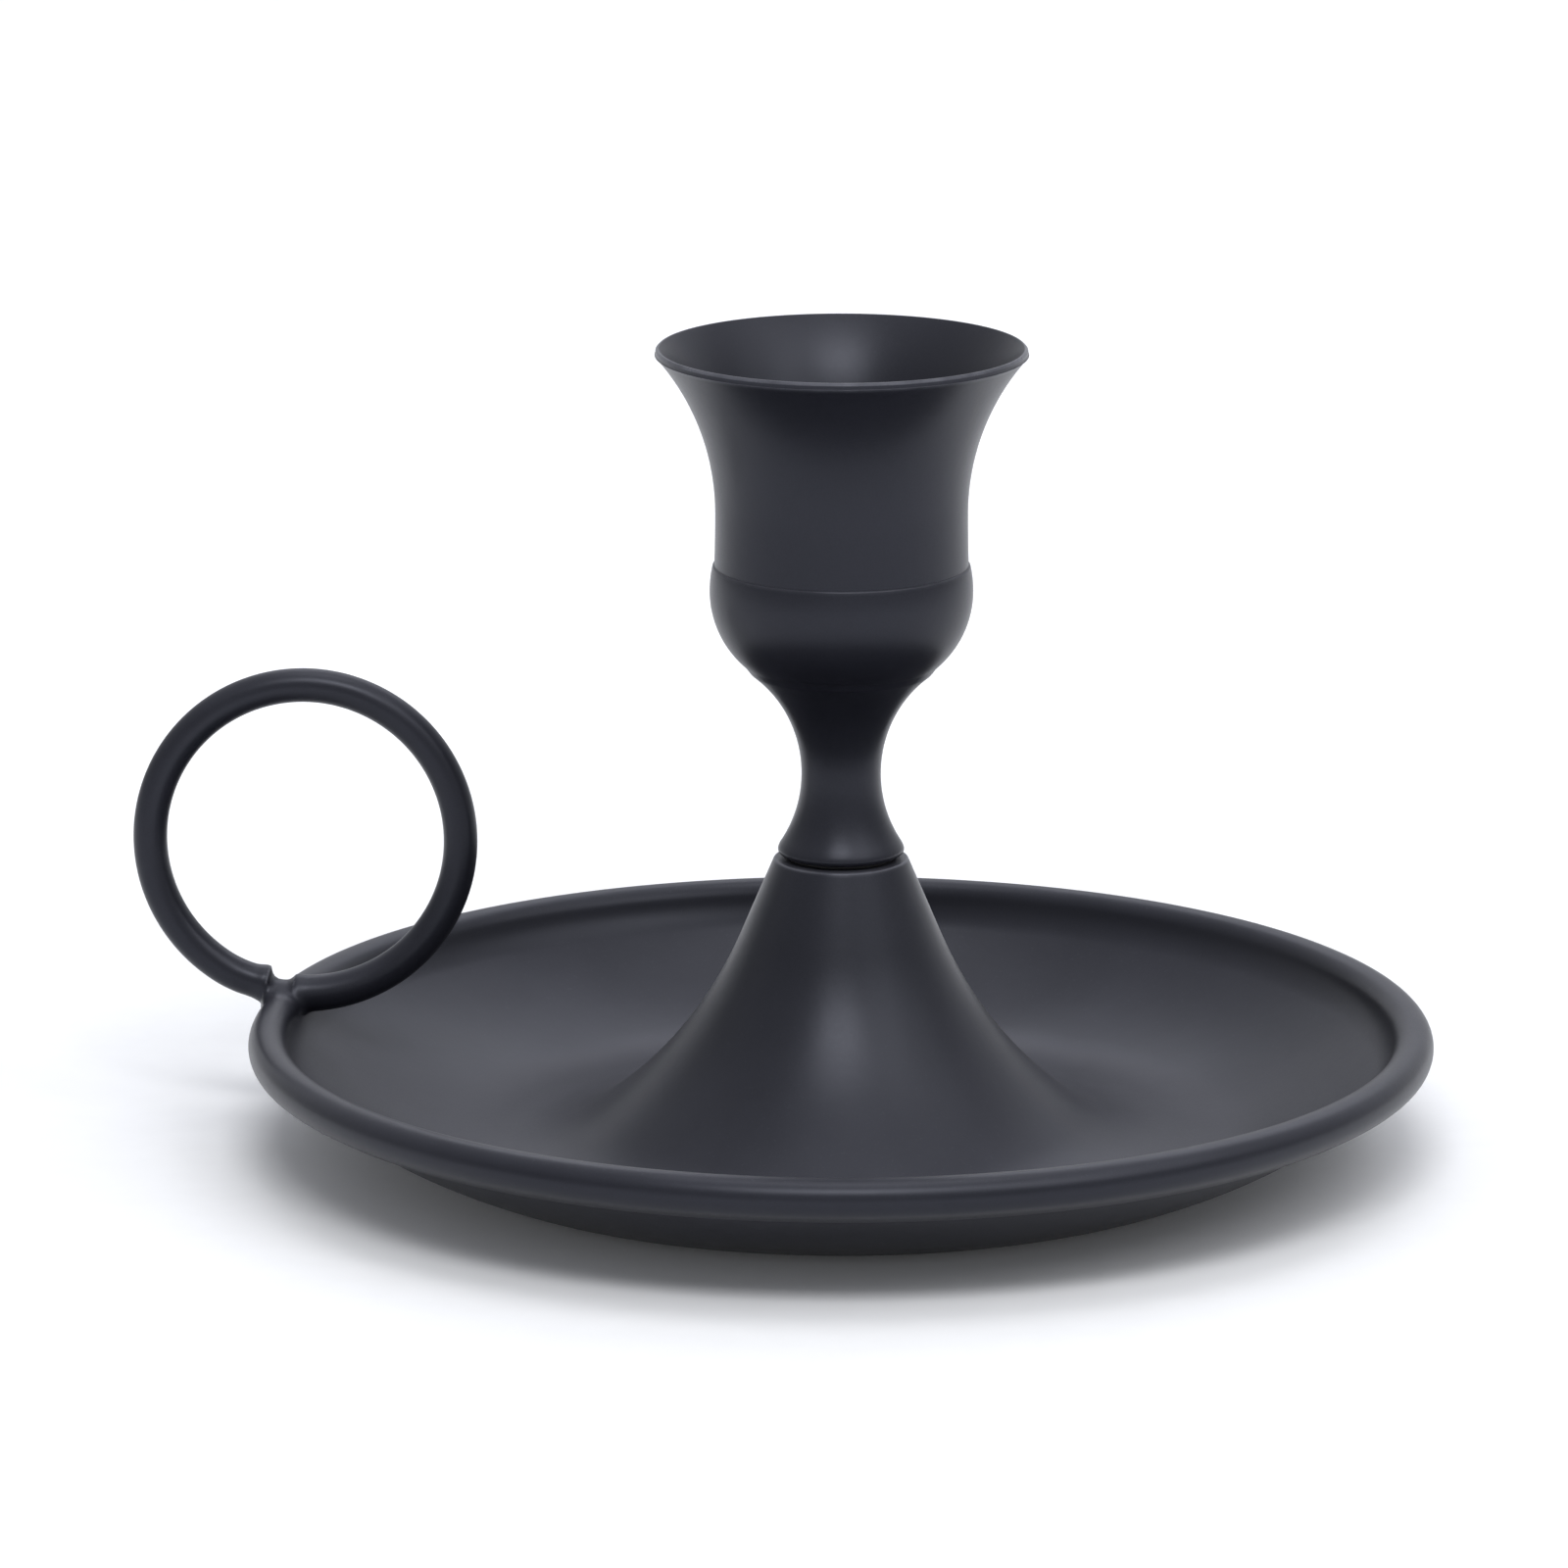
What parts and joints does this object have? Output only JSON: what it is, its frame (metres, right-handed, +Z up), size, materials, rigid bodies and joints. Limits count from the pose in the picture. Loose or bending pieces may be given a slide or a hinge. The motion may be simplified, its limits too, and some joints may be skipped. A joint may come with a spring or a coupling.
{
  "type": "chamberstick candle holder",
  "caption": "Saucer candlestick with a trumpet middle, waisted stem, flared candle cup that unscrews, rolled rim and a ring finger handle brazed over the rim.",
  "frame": {"origin": "centre of the bounding box's bottom, on the table under the saucer, 6.7 mm from the candle's axis towards the handle", "axes": "+Z up along the candle; the ring handle stands on the rim at -X; the candle's axis is the line x = 6.7 mm, y = 0"},
  "size_m": [0.1334, 0.12, 0.0827],
  "materials": {
    "black_coat": "satin black powder coat",
    "zinc_steel": "zinc plated",
    "black_rubber": "matte"
  },
  "bodies": {
    "base": {"saucer": "black_coat", "handle_ring": "black_coat", "handle_braze": "black_coat", "base_screw": "zinc_steel", "base_washer": "zinc_steel"},
    "captive_washer": {"seat_washer": "black_rubber"},
    "candle_head": {"stem": "black_coat", "cup_bowl": "black_coat", "cup_sleeve": "black_coat", "cup_washer": "zinc_steel", "cup_screw": "zinc_steel"}
  },
  "joints": [
    {"name": "stem_rise", "type": "slide", "parent": "base", "child": "captive_washer", "axis": [0, 0, 1], "range_m": [0, 0.0064]},
    {"name": "stem_unscrew", "type": "hinge", "parent": "captive_washer", "child": "candle_head", "pos_m": [0.00673, 0, 0.0309], "axis": [0, 0, 1], "range_deg": [0, 2880]}
  ],
  "couplings": [
    {"joint": "stem_rise", "follows": "stem_unscrew", "m_per_rad": 0.00012732}
  ]
}
